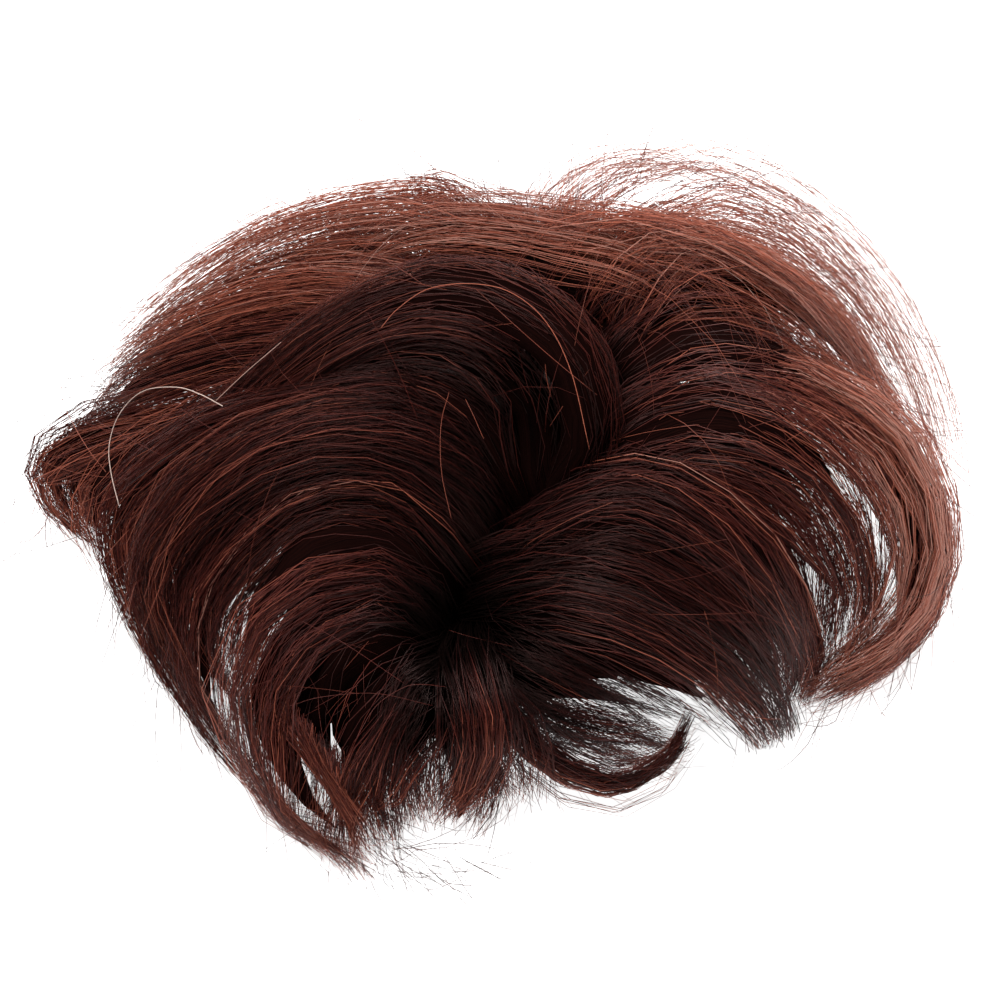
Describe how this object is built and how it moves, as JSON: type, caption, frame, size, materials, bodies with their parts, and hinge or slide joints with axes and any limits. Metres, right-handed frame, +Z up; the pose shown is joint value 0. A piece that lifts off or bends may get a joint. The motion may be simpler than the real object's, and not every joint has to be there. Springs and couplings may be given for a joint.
{
  "type": "top knot hairpiece",
  "caption": "Messy bun hairpiece of dark auburn curled hair, in bunches sewn round a stretchy elastic band that the wearer's own knot goes through.",
  "frame": {"origin": "middle of the whole footprint, on the table that the hairpiece lies on", "axes": "X to the right across the longest way, Y to the back, Z up out of the band's hole"},
  "size_m": [0.1628, 0.1344, 0.0678],
  "materials": {
    "elastic": "black woven elastic",
    "crown_curls": "dark auburn hair with a soft sheen",
    "left_arch_curls": "dark auburn hair with a soft sheen",
    "right_front_curls": "dark auburn hair with a soft sheen",
    "front_curls": "dark auburn hair with a soft sheen",
    "right_curls": "dark auburn hair with a soft sheen",
    "right_back_curls": "dark auburn hair with a soft sheen",
    "left_side_curls": "dark auburn hair with a soft sheen",
    "back_curls": "dark auburn hair with a soft sheen"
  },
  "bodies": {
    "root": {"elastic_band": "elastic", "crown_curls": "crown_curls", "left_arch_curls": "left_arch_curls", "right_front_curls": "right_front_curls", "front_curls": "front_curls", "right_curls": "right_curls", "right_back_curls": "right_back_curls", "left_side_curls": "left_side_curls", "back_curls": "back_curls"}
  },
  "joints": []
}
